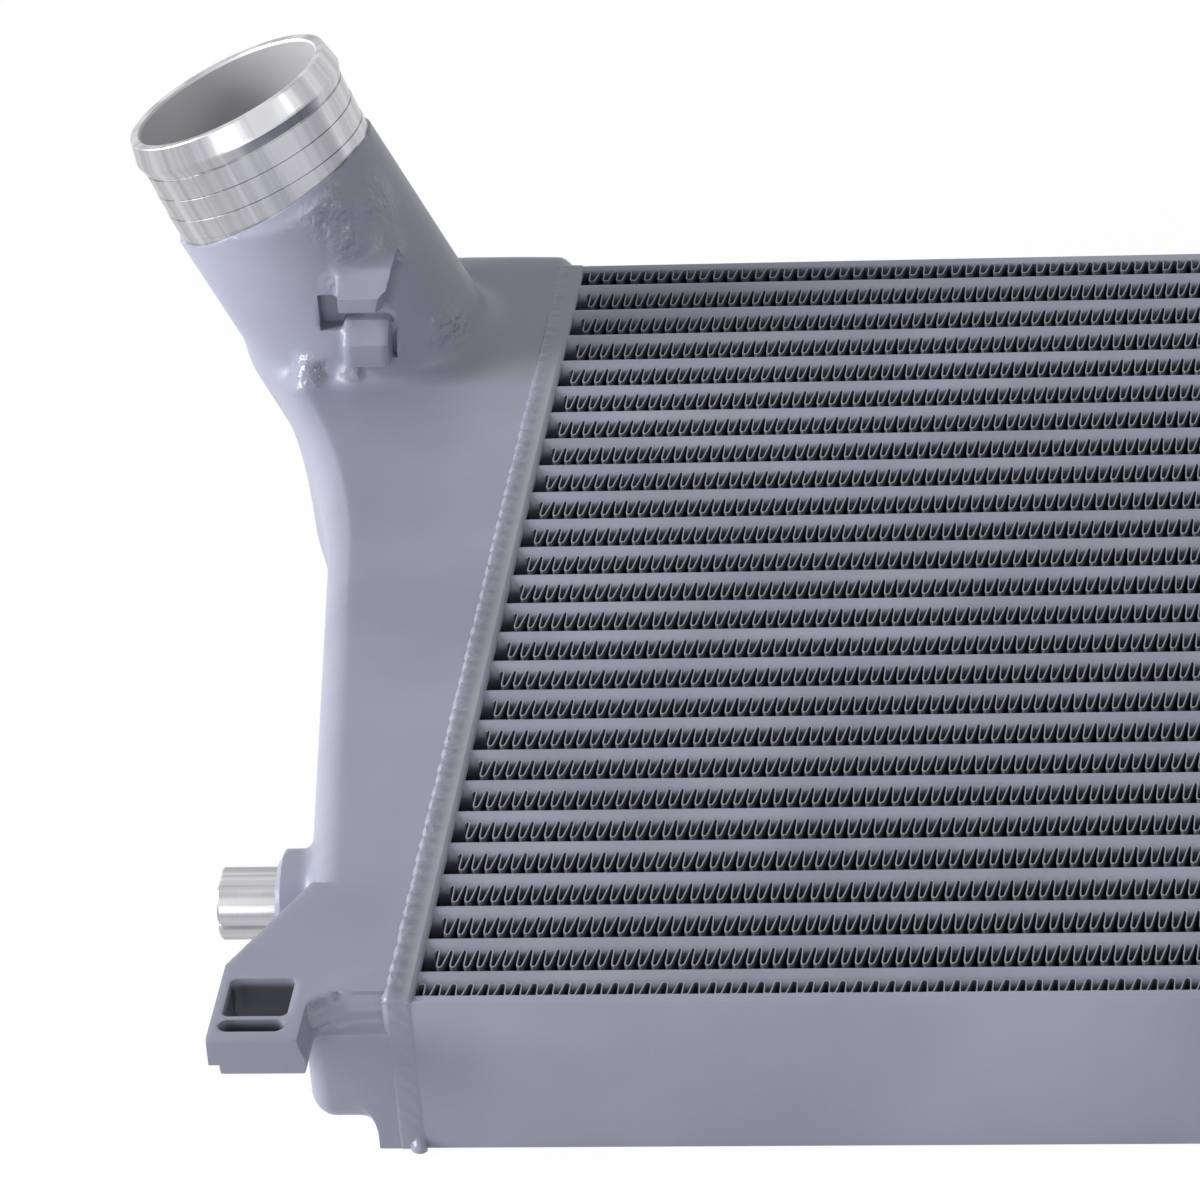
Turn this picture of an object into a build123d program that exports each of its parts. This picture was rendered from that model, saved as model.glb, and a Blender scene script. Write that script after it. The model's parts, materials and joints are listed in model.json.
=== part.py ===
from build123d import *
import os

# An air-to-air intercooler, lying on the back face of its core, in millimetres.
# X runs along the tubes, Y up the stack of tubes and Z out of the face that carries the spigots.
# The origin is the centre of the core's back face.

# Core: a stack of extruded tubes with corrugated fins between them
tube_count = 25
tube_thickness = 8.0
tube_wall = 0.9
tube_rib_count = 1
tube_rib = 0.9
nose_depth = 5.0
nose_flat_count = 6
core_depth = 45.0
window_width = 650.0
end_bar_width = 3.0
fin_height = 7.8
end_fin_height = 6.15
fin_waves = 10
fin_sheet = 0.5
fin_recess = 0.3
fin_end_gap = 5.0
plate_thickness = 3.4

# End tank: a cast box that widens from its foot to the spigot
tank_depth = 38.4
tank_wall = 4.0
tank_edge_radius = 8.0
tank_back_bevel = 6.0
foot_width = 25.5
shoulder_width = 51.3
shoulder_drop = 187.0
bulb_radius = 45.0
bulb_inset = 51.0
top_overhang = 13.85
crown_fall = 4.4
flange_width = 9.0

# Spigot: leans away from the core and a little up the stack
spigot_bore = 57.8
spigot_rim = 64.0
spigot_bead = 66.8
spigot_land = 64.4
bead_start = 7.0
bead_end = 10.6
land_length = 20.9
neck_diameter = 67.6
spigot_length = 82.9
spigot_lean = 22.7
spigot_turn = 9.7
spigot_inset = 61.4
spigot_drop = 50.45

# Clip on the near flank of the left spigot
clip_width = 14.5
clip_offset = 52.2
clip_reach = 38.2
clip_slot = 4.0
clip_slot_height = 22.4
clip_jaw = 13.4
clip_slope = 6.5
clip_lip = 5.0
clip_crown = 21.0
clip_ramp = 9.0
clip_bed = 20.0

# Mounting lug at the foot of the tank, with a pocket and a slot for a bracket
lug_thickness = 7.6
lug_pad = 2.8
lug_pad_inset = 3.2
lug_width = 22.3
lug_length = 17.6
lug_rise = 18.8
lug_slope = 38.0
lug_neck_inset = 4.0
lug_fillet = 11.0
pocket_width = 17.1
pocket_length = 17.8
pocket_radius = 1.8
slot_length = 17.4
slot_width = 5.6
lug_web = 1.6
lug_border = 4.8

# Stub peg on the outer wall of the tank
peg_diameter = 19.5
peg_length = 16.0
peg_flat = 7.9
peg_groove_turn = 264.0
peg_groove_width = 2.6
peg_groove_depth = 1.2
peg_boss_diameter = 29.0
peg_boss_cone = 1.8
peg_boss_reach = 9.3
peg_boss_land = 1.5
peg_rise = 79.8
peg_height = 25.4
peg_root = 3.0
peg_root_diameter = 8.0
peg_fit = 0.0

# Weld bead round the joint between core and tank
bead_width = 8.0
bead_offset = 1.0
bead_height = 1.6

# Worked-out sizes
pitch = tube_thickness + fin_height
stack_height = tube_count * tube_thickness + (tube_count - 1) * fin_height + 2 * end_fin_height
core_height = stack_height + 2 * plate_thickness
core_width = window_width + 2 * end_bar_width
half_width = core_width / 2
half_height = core_height / 2
foot_y = -half_height
top_y = half_height + top_overhang


def tube_y(index):
    """Height of a tube's middle in the stack, counted from the top."""
    return half_height - plate_thickness - end_fin_height - tube_thickness / 2 - index * pitch


def tube():
    """One extruded tube with rounded noses and a rib inside, centred on Y = 0."""
    sides = 2 * nose_flat_count
    section = Rectangle(tube_thickness, core_depth - tube_thickness)
    for place in GridLocations(0, core_depth - tube_thickness, 1, 2):
        section += place * RegularPolygon(tube_thickness / 2, sides, major_radius=False, rotation=180 / sides)
    port = (core_depth - 2 * nose_depth - tube_rib_count * tube_rib) / (tube_rib_count + 1)
    for place in GridLocations(0, port + tube_rib, 1, tube_rib_count + 1):
        section -= place * Rectangle(tube_thickness - 2 * tube_wall, port)
    return Pos(0, 0, core_depth / 2) * extrude(Plane.YZ * section, core_width / 2, both=True)


def fin_row(height):
    """A corrugated strip of the given height: crests and valleys meet the tubes above and below."""
    run = window_width - 2 * fin_end_gap
    step = run / (2 * fin_waves)
    amplitude = (height - fin_sheet) / 2
    upper = []
    lower = []
    for point in range(2 * fin_waves + 1):
        x = -run / 2 + point * step
        y = amplitude * (1 if point % 2 else -1)
        upper.append((x, y + fin_sheet / 2))
        lower.append((x, y - fin_sheet / 2))
    outline = make_face(Polyline(*upper, *reversed(lower), close=True))
    strip = extrude(outline, core_depth - 2 * fin_recess)
    return Pos(0, 0, fin_recess) * strip


def fin_rows():
    """Each row's height and the height of its middle in the stack, from the top."""
    rows = [(end_fin_height, half_height - plate_thickness - end_fin_height / 2)]
    for index in range(tube_count - 1):
        rows.append((fin_height, tube_y(index) - pitch / 2))
    rows.append((end_fin_height, -half_height + plate_thickness + end_fin_height / 2))
    return rows


def side_plate(side):
    """The flat plate that closes the stack at the top (side 1) or the bottom (side -1)."""
    y = side * (half_height - plate_thickness / 2)
    return Pos(0, y, core_depth / 2) * Box(core_width, plate_thickness, core_depth)


def end_bars(side):
    """The bars that close the fin channels at one end of the core, one for each row."""
    x = side * (half_width - end_bar_width / 2)
    bars = [Pos(x, y, core_depth / 2) * Box(end_bar_width, height, core_depth) for height, y in fin_rows()]
    return Compound(children=bars)


def tank_outline(end):
    """Plan of the left tank from its foot to the bulb, up to X = end on the core's side."""
    corner = Vector(-foot_width, foot_y)
    shoulder = Vector(-shoulder_width, top_y - shoulder_drop)
    bulb = Vector(-bulb_inset, top_y - bulb_radius)
    crown = bulb + Vector(0, bulb_radius)
    # the flare is the one arc that leaves the taper smoothly and runs smoothly into the bulb
    outwards = (shoulder - corner).normalized().rotate(Axis.Z, 90)
    reach = shoulder - bulb
    flare_radius = (reach.dot(reach) - bulb_radius**2) / (2 * (bulb_radius - reach.dot(outwards)))
    flare_centre = shoulder + outwards * flare_radius
    meeting = bulb + (flare_centre - bulb).normalized() * bulb_radius
    edges = [
        Line((end, foot_y), corner),
        Line(corner, shoulder),
        RadiusArc(shoulder, meeting, -flare_radius),
        RadiusArc(meeting, crown, bulb_radius),
        Line(crown, (end, top_y - crown_fall)),
        Line((end, top_y - crown_fall), (end, foot_y)),
    ]
    return make_face(Wire(edges))


def spigot_plane():
    """Plane at the foot of the spigot on the tank's face, with its normal along the spigot."""
    foot = Location((-spigot_inset, top_y - spigot_drop, core_depth))
    lean = Rotation(0, 0, 180 - spigot_turn) * Rotation(0, spigot_lean, 0)
    return Plane(foot * lean)


def spigot_profile():
    """Half section of the spigot: rim, hose bead, plain land and cast neck."""
    rim = spigot_length
    crest = rim - bead_start
    land = rim - bead_end
    neck = land - land_length
    root = -tank_depth / 2
    points = [(0, rim), (spigot_rim / 2, rim), (spigot_bead / 2, crest), (spigot_land / 2, land)]
    points += [(spigot_land / 2, neck), (neck_diameter / 2, neck), (neck_diameter / 2, root), (0, root)]
    return make_face(Polyline(*points, close=True))


def spigot_body():
    """The solid spigot, turned about its own axis and set on the tank."""
    turned = revolve(Plane.XZ * spigot_profile(), Axis.Z)
    return spigot_plane().location * turned


def spigot_hole():
    """The bore of the spigot, from its rim down into the tank."""
    length = spigot_length + tank_depth / 2
    core = Pos(0, 0, spigot_length - length / 2) * Cylinder(spigot_bore / 2, length + 0.02)
    return spigot_plane().location * core


def tank_shell():
    """The cast box of the tank with its outer edges rolled over, before it is hollowed."""
    end = -flange_width / 2
    box = Pos(0, 0, core_depth - tank_depth) * extrude(tank_outline(end), tank_depth)
    front = box.faces().sort_by(Axis.Z)[-1]
    box = fillet(front.edges().filter_by(lambda edge: edge.center().X < end - 1), tank_edge_radius)
    back = box.faces().sort_by(Axis.Z)[0]
    box = chamfer(back.edges().filter_by(lambda edge: edge.center().X < end - 1), tank_back_bevel)
    flange = Pos(-flange_width / 2, 0, core_depth / 2) * Box(flange_width, core_height, core_depth)
    return box + flange


def tank_cavity():
    """The plenum: the outline set in by one wall, and the window towards the core."""
    height = tank_depth - 2 * tank_wall
    room = extrude(offset(tank_outline(0), -tank_wall, kind=Kind.INTERSECTION), height)
    sill = core_height - 2 * (plate_thickness + end_fin_height)
    window = Pos(-tank_wall, 0, height / 2) * Box(2 * tank_wall, sill, height)
    return Pos(0, 0, core_depth - tank_depth + tank_wall) * (room + window)


def lug():
    """The bracket lug, flush with the tank's face, with its pocket, slot and thicker pad."""
    inner = -foot_width
    outer = inner - lug_width
    low = foot_y - lug_length
    knee = foot_y + lug_rise
    neck = (inner - lug_neck_inset, knee + lug_slope)
    inside = (inner + lug_fillet, foot_y + tank_edge_radius)
    outline = Wire(
        [
            Line((outer, low), (outer, knee)),
            Line((outer, knee), neck),
            Line(neck, (inside[0], neck[1])),
            Line((inside[0], neck[1]), inside),
            RadiusArc(inside, (inner, inside[1] - lug_fillet), -lug_fillet),
            Line((inner, inside[1] - lug_fillet), (inner, low)),
            Line((inner, low), (outer, low)),
        ]
    )
    body = Pos(0, 0, core_depth - lug_thickness) * extrude(make_face(outline), lug_thickness)
    pad_left = outer + lug_pad_inset
    pad_length = knee - low
    pad = Box(inner - pad_left, pad_length, lug_pad, align=(Align.MIN, Align.MIN, Align.MAX))
    body += Pos(pad_left, low, core_depth - lug_thickness) * pad
    middle = (inner + outer) / 2
    slot_y = low + lug_border + slot_width / 2
    pocket_y = slot_y + slot_width / 2 + lug_web + pocket_length / 2
    pocket = RectangleRounded(pocket_width, pocket_length, pocket_radius)
    slot = SlotOverall(slot_length, slot_width)
    for shape, y in ((pocket, pocket_y), (slot, slot_y)):
        body -= Pos(middle, y, 0) * extrude(shape, core_depth)
    return body


def wall_x(y):
    """X of the tank's outer wall on its straight taper."""
    share = (y - foot_y) / (top_y - shoulder_drop - foot_y)
    return -foot_width - share * (shoulder_width - foot_width)


def peg_place():
    """Where the peg's axis leaves the outer wall, with Z along the peg."""
    y = foot_y + peg_rise
    return Location((wall_x(y), y, peg_height), (0, -90, 0))


def peg_boss():
    """The cast boss round the peg, with a cone at its end."""
    straight = peg_boss_reach - peg_boss_cone
    root = tank_wall
    rim = peg_diameter / 2 + peg_boss_land
    points = [(0, -root), (peg_boss_diameter / 2, -root), (peg_boss_diameter / 2, straight)]
    points += [(rim, peg_boss_reach), (0, peg_boss_reach)]
    return peg_place() * revolve(Plane.XZ * make_face(Polyline(*points, close=True)), Axis.Z)


def peg(side):
    """The turned stub peg on its narrower root, with a flat along its front and a groove below."""
    stub = Pos(0, 0, peg_boss_reach + peg_length / 2) * Cylinder(peg_diameter / 2, peg_length)
    root = Pos(0, 0, peg_boss_reach - peg_root / 2) * Cylinder(peg_root_diameter / 2, peg_root)
    above = peg_boss_reach + peg_length
    cutter = Box(peg_diameter, peg_diameter, peg_length * 2, align=(Align.MIN, Align.CENTER, Align.CENTER))
    groove = Box(peg_groove_depth * 2, peg_groove_width, peg_length * 2)
    stub -= Pos(peg_flat, 0, above) * cutter
    stub -= Rot(0, 0, peg_groove_turn) * Pos(peg_diameter / 2, 0, above) * groove
    placed = Pos(-half_width, 0, 0) * peg_place() * (stub + root)
    return placed if side < 0 else mirror(placed, about=Plane.YZ)


def peg_socket():
    """The hole in the boss that takes the peg's root."""
    hole = Pos(0, 0, peg_boss_reach - peg_root / 2) * Cylinder(peg_root_diameter / 2 + peg_fit, peg_root)
    return peg_place() * hole


def clip():
    """Two jaws on the spigot's flank with a slot between them, for a hose clip."""
    front = top_y - spigot_drop - clip_reach
    bed = front + clip_bed
    under = core_depth + clip_slot_height - clip_slot / 2
    over = under + clip_slot
    low = [(bed, under), (front + clip_slope, under), (front, under - clip_slope)]
    low += [(front, under - clip_jaw), (bed, under - clip_jaw)]
    high = [(bed, over), (front, over), (front, over + clip_lip)]
    high += [(front + clip_ramp, over + clip_crown), (bed, over + clip_crown)]
    faces = [make_face(Polyline(*points, close=True)) for points in (low, high)]
    jaws = [extrude(Plane.YZ * face, clip_width / 2, both=True) for face in faces]
    return Pos(-clip_offset, 0, 0) * (jaws[0] + jaws[1])


def end_tank(side):
    """One end tank as a single casting. The left one (side -1) also has the clip."""
    body = tank_shell() + spigot_body() + lug() + peg_boss()
    if side < 0:
        body += clip()
    body -= tank_cavity()
    body -= spigot_hole()
    body -= peg_socket()
    placed = Pos(-half_width, 0, 0) * body
    return placed if side < 0 else mirror(placed, about=Plane.YZ)


def weld_bead(side):
    """The bead along the joint: over both side plates and along the front face."""
    edge = bead_width / 2
    crest = bead_width / 4
    section = make_face(Polyline((-edge, 0), (-crest, -bead_height), (crest, -bead_height), (edge, 0), close=True))
    corners = [(0, foot_y, 0), (0, foot_y, core_depth), (0, half_height, core_depth), (0, half_height, 0)]
    run = sweep(Plane.XY * Pos(0, foot_y, 0) * section, path=Polyline(*corners), transition=Transition.RIGHT)
    left = Pos(-half_width, 0, 0) * (Pos(-bead_offset, 0, 0) * run - tank_shell())
    return left if side < 0 else mirror(left, about=Plane.YZ)


def build():
    """Every node by name."""
    nodes = {}
    single = tube()
    for index in range(tube_count):
        nodes[f"tube_{index + 1:02d}"] = Pos(0, tube_y(index), 0) * single
    strips = {height: fin_row(height) for height in (fin_height, end_fin_height)}
    for index, (height, y) in enumerate(fin_rows()):
        nodes[f"fin_row_{index + 1:02d}"] = Pos(0, y, 0) * strips[height]
    nodes["top_side_plate"] = side_plate(1)
    nodes["bottom_side_plate"] = side_plate(-1)
    for side, name in ((-1, "left"), (1, "right")):
        nodes[f"{name}_end_bars"] = end_bars(side)
        nodes[f"{name}_end_tank"] = end_tank(side)
        nodes[f"{name}_peg"] = peg(side)
    nodes["weld_beads"] = Compound(children=[weld_bead(-1), weld_bead(1)])
    return nodes


os.makedirs("parts", exist_ok=True)
for name, shape in build().items():
    export_step(shape, f"parts/{name}.step")
print("core", round(core_width, 2), "x", round(core_height, 2), "x", core_depth, "pitch", pitch)
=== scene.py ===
# %% [markdown]
# # An air-to-air intercooler, painted blue-grey, with bare turned spigots
#
# The real part is a stack of flat aluminium tubes with corrugated fins between them, welded between two cast
# end tanks. It lies on the back of its core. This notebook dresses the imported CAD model: it reads the sizes
# of the core from the frame and makes each visible piece again with the detail that the photograph shows.

# %% Load the frame
import json
import math

import bmesh
import bpy
import numpy as np
from mathutils import Matrix, Vector

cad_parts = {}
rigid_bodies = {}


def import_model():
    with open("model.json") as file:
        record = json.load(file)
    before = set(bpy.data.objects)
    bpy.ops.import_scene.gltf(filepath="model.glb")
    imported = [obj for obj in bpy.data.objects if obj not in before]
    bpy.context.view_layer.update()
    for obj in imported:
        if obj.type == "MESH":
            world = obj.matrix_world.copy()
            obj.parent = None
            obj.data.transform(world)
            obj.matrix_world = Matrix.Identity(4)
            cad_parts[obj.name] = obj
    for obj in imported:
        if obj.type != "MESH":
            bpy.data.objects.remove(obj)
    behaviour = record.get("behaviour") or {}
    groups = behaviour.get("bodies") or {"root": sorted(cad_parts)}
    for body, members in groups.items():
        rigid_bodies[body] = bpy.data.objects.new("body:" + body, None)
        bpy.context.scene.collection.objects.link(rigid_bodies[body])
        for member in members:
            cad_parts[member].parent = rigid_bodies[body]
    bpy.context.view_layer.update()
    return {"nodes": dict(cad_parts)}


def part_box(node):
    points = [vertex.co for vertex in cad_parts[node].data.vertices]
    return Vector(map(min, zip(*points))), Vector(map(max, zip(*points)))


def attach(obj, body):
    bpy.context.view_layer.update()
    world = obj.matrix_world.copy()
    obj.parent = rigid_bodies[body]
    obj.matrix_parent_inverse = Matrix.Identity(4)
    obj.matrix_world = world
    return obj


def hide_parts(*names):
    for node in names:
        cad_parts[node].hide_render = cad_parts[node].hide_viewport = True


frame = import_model()
MM = 0.001
tubes = [name for name in sorted(frame["nodes"]) if name.startswith("tube_")]
rows = [name for name in sorted(frame["nodes"]) if name.startswith("fin_row_")]
print("tubes", len(tubes), "rows of fins", len(rows))

# %% [markdown]
# Every size of the core comes from the CAD nodes' boxes, so the dressed core follows the solids. The helper
# gives a node's middle and its size in millimetres, which is the unit for all the shapes below.

# %% Sizes of the core


def place(node):
    """Middle and size of a CAD node, in millimetres."""
    low, high = (np.array(corner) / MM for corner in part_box(node))
    return (low + high) / 2, high - low


def span(piece):
    """Lowest and highest corner of a finished piece, in millimetres."""
    corners = np.array(piece.bound_box) / MM
    return corners.min(0).round(1), corners.max(0).round(1)


def metres(point):
    """A point in millimetres, in Blender's unit."""
    return tuple(c * MM for c in point)


tube_middle, tube_size = place(tubes[0])
core_length, tube_thickness, core_depth = tube_size
tube_pitch = (place(tubes[0])[0][1] - place(tubes[-1])[0][1]) / (len(tubes) - 1)
plate_middle, plate_size = place("top_side_plate")
half_height = plate_middle[1] + plate_size[1] / 2
half_length = core_length / 2
bar_width = place("left_end_bars")[1][0]
print(f"core {core_length:.1f} x {2 * half_height:.1f} x {core_depth:.1f} mm")
print(f"pitch of the tubes {tube_pitch:.2f} mm")

# %% [markdown]
# ## Writing materials and shapes as formulas
#
# A node tree is a formula drawn with boxes. It is shorter to write it as one: a small class wraps a socket
# and turns + - * / into Math nodes, and one method adds any other node. The same class serves shaders and
# Geometry Nodes, because both trees share the Math node.

# %% A socket that can be used in formulas


class Value:
    """A socket in a node tree. Arithmetic on it adds Math nodes."""

    def __init__(self, tree, socket):
        self.tree = tree
        self.socket = socket

    def math(self, operation, *others):
        """This value, and others, through one Math node."""
        return calculate(self.tree, operation, self, *others)

    def __add__(self, other):
        return self.math("ADD", other)

    def __sub__(self, other):
        return self.math("SUBTRACT", other)

    def __rsub__(self, other):
        return calculate(self.tree, "SUBTRACT", other, self)

    def __mul__(self, other):
        return self.math("MULTIPLY", other)

    def __truediv__(self, other):
        return self.math("DIVIDE", other)

    __radd__ = __add__
    __rmul__ = __mul__

    def ramp(self, low, high):
        """0 at low, 1 at high, smooth between."""
        node = self.tree.nodes.new("ShaderNodeMapRange")
        node.interpolation_type = "SMOOTHSTEP"
        for slot, value in zip(node.inputs, (self, low, high, 0.0, 1.0)):
            feed(self.tree, slot, value)
        return Value(self.tree, node.outputs[0])


def calculate(tree, operation, *values):
    """One Math node over values and plain numbers."""
    node = tree.nodes.new("ShaderNodeMath")
    node.operation = operation
    for slot, value in zip(node.inputs, values):
        feed(tree, slot, value)
    return Value(tree, node.outputs[0])


def feed(tree, slot, value):
    """Links a wrapped socket to an input, or sets a plain value on it."""
    if isinstance(value, Value):
        tree.links.new(value.socket, slot)
    else:
        slot.default_value = value


def add(tree, kind, settings=None, inputs=None, output=0):
    """Any node: its type, its settings, the values or links of its inputs, and the wanted output."""
    node = tree.nodes.new(kind)
    for name, value in (settings or {}).items():
        setattr(node, name, value)
    for name, value in (inputs or {}).items():
        feed(tree, node.inputs[name], value)
    return Value(tree, node.outputs[output])


def part_of(tree, vector, axis):
    """X, Y or Z of a vector, counted from 0."""
    return add(tree, "ShaderNodeSeparateXYZ", inputs={"Vector": vector}, output=axis)


# %% [markdown]
# ## Colours
#
# A colour is easiest to judge as a screen colour from 0 to 255. Shaders work in linear light, so each is
# converted once here.

# %% Screen colours to linear light


def tint(red, green, blue):
    """A screen colour as a linear colour with full alpha."""
    shares = [c / 255 for c in (red, green, blue)]
    return tuple(s / 12.92 if s <= 0.04045 else ((s + 0.055) / 1.055) ** 2.4 for s in shares) + (1.0,)


PAINT_PALE = tint(154, 157, 174)
PAINT_DEEP = tint(141, 144, 161)
FIN_EDGE = tint(150, 154, 167)
CHANNEL_SHADE = tint(24, 26, 33)
BORE_GREY = tint(196, 195, 198)
HOLLOW_SHADE = tint(22, 26, 37)
BARE_REFLECTION_BRIGHT = tint(218, 218, 221)
BARE_REFLECTION_DARK = tint(148, 148, 152)

# %% [markdown]
# ## The paint
#
# The whole core and both castings carry a thin satin paint. It is not flat: the spray leaves a faint orange
# peel, the colour drifts a little over a hand's width, and grains of dust catch the light. Three noises do
# that. The casting round the spigot is rough below the paint, and the paint there is glossier. Soft
# spherical masks say where, and a fourth noise gives those places a stronger bump.

# %% Paint on metal


def finish(material, **inputs):
    """Puts a Principled shader with these inputs on a material's output."""
    tree = material.node_tree
    shader = tree.nodes.new("ShaderNodeBsdfPrincipled")
    for name, value in inputs.items():
        feed(tree, shader.inputs[name.replace("_", " ")], value)
    out = tree.nodes.new("ShaderNodeOutputMaterial")
    tree.links.new(shader.outputs[0], out.inputs["Surface"])
    return material


def blank(name):
    """A new material with an empty node tree, and its Object coordinates."""
    material = bpy.data.materials.new(name)
    material.use_nodes = True
    tree = material.node_tree
    tree.nodes.clear()
    where = add(tree, "ShaderNodeTexCoord", output=3)
    return material, tree, where


def noise(tree, where, size, detail=2.0, rough=0.5):
    """Noise with features of about this size in millimetres, from 0 to 1."""
    inputs = {"Vector": where, "Scale": 1 / (size * MM), "Detail": detail, "Roughness": rough}
    return add(tree, "ShaderNodeTexNoise", inputs=inputs)


def mix(tree, share, first, second):
    """A colour between two colours."""
    node = tree.nodes.new("ShaderNodeMix")
    node.data_type = "RGBA"
    feed(tree, node.inputs[0], share)
    feed(tree, node.inputs[6], first)
    feed(tree, node.inputs[7], second)
    return Value(tree, node.outputs[2])


def bump(tree, height, depth):
    """A normal from a height, of which 1 stands for this depth in millimetres."""
    return add(tree, "ShaderNodeBump", inputs={"Height": height, "Distance": depth * MM})


GRAIN_PALE = tint(186, 190, 200)
CRUST = 6.0
CRUST_GLOSS = 0.2
HOLLOW_SHADE_SHARE = 0.93
HOLLOW_SHADE_FADE = 3.0


def painted(name, roughness, cast_spots=(), hollow=None):
    """Satin paint. Each cast spot is (centre, radius), where the metal below is rough.

    The hollow is (low corner, high corner) of a pocket that gets a painted shade inside, all in millimetres.
    """
    material, tree, where = blank(name)
    drift = noise(tree, where, 70, detail=3.0).ramp(0.3, 0.7)
    peel = noise(tree, where, 1.6)
    grain = noise(tree, where, 0.5, detail=1.0).ramp(0.68, 0.8)
    body = mix(tree, drift, PAINT_DEEP, PAINT_PALE)
    body = mix(tree, grain * 0.25, body, GRAIN_PALE)
    if hollow:
        inside = 1.0
        for axis, (low, high) in enumerate(zip(*hollow)):
            at = part_of(tree, where, axis) / MM
            # the painted shade fades towards the open face, which lies in Z
            fade = HOLLOW_SHADE_FADE if axis == 2 else 0.0
            inside = inside * at.ramp(low - 0.3, low + 0.3) * (1 - at.ramp(high - fade, high + 0.1))
        # painted shade inside the lug's pocket and slot
        body = mix(tree, inside * HOLLOW_SHADE_SHARE, body, HOLLOW_SHADE)
    height = peel * 0.06
    near = 0.0
    for centre, radius in cast_spots:
        gap = add(tree, "ShaderNodeVectorMath", {"operation": "DISTANCE"}, {0: where, 1: metres(centre)}, 1)
        near = near + (1 - (gap / (radius * MM)).ramp(0.1, 1.0))
    if cast_spots:
        crust = noise(tree, where, 4.2, detail=2.0, rough=0.55)
        near = near.math("MINIMUM", 1.0)
        height = height + crust * near * CRUST
        roughness = roughness - near * CRUST_GLOSS
    return finish(
        material,
        Base_Color=body,
        Roughness=roughness + peel * 0.08,
        Specular_IOR_Level=0.5,
        Normal=bump(tree, height, 0.35),
    )


core_paint = painted("core_paint", roughness=0.40)
print("paint ready", core_paint.name)

# %% [markdown]
# ## The fins' own finish
#
# Paint reaches only the mouths of the channels, and deeper in, the channels lie in shade. The cut edge of
# each fin shows as a pale line, the first few millimetres are grey, and deeper in the fin is nearly black,
# with faint streaks where the strip is lanced. The grey and the black are partly the missing paint and partly
# painted shade of the deep channels. The depth below the nearer face, front or back, drives all of it.

# %% Fins whose painted shade deepens with depth


def depth_below(tree, where):
    """How far a point lies below the nearer face of the core, in millimetres."""
    height = part_of(tree, where, 2)
    return height.math("MINIMUM", core_depth * MM - height) / MM


FIN_MOUTH_SHADE = tint(100, 103, 114)
FIN_STREAK = tint(120, 124, 134)


def shaded_fin_finish(name):
    """A pale cut edge, a grey mouth and dark depths with streaks. The grey and the dark are partly painted
    shade.
    """
    material, tree, where = blank(name)
    deep = depth_below(tree, where)
    stretched = add(tree, "ShaderNodeMapping", inputs={"Vector": where, "Scale": (1.0, 1.0, 0.08)})
    streak = noise(tree, stretched, 0.7, detail=1.0).ramp(0.5, 0.75)
    # painted shade: the fin turns grey, then nearly black, with depth below the face
    shade = mix(tree, deep.ramp(0.4, 4.5), FIN_MOUTH_SHADE, CHANNEL_SHADE)
    shade = mix(tree, streak * (1 - deep.ramp(2.0, 14.0)) * 0.35, shade, FIN_STREAK)
    shade = mix(tree, 1 - deep.ramp(0.38, 0.55), shade, FIN_EDGE)
    return finish(material, Base_Color=shade, Roughness=0.5, Specular_IOR_Level=0.3)


def paint_fading_to_shade(name, start=3.5, end=9.0):
    """Paint at the core's faces, fading to a painted shade between these depths in the fin channels."""
    material, tree, where = blank(name)
    deep = depth_below(tree, where)
    drift = noise(tree, where, 40, detail=3.0).ramp(0.3, 0.7)
    peel = noise(tree, where, 1.6)
    shade = mix(tree, drift, PAINT_DEEP, PAINT_PALE)
    shade = mix(tree, deep.ramp(start, end), shade, CHANNEL_SHADE)
    return finish(material, Base_Color=shade, Roughness=0.42 + peel * 0.08, Normal=bump(tree, peel, 0.02))


fin_paint_and_shade = shaded_fin_finish("fin_paint_and_shade")
# the tubes and the bars take the painted shade of the fin channels, the bars from right at the face
tube_paint_and_shade = paint_fading_to_shade("tube_paint_and_shade")
bar_paint_and_shade = paint_fading_to_shade("bar_paint_and_shade", start=-1.0, end=2.0)
print("fin and tube finishes ready")

# %% [markdown]
# ## Turned aluminium
#
# The spigots' hose bands and the stub pegs are machined after painting, so they are bare. A lathe leaves
# fine rings round the axis, and light runs over them in streaks along the axis. The rings are a bump that
# varies only along the axis. The streaks are painted reflections: noise that varies only round it, with a
# little of the rings, makes the metal's colour brighter and darker in bands along the axis.

# %% Bare metal along any axis


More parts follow.
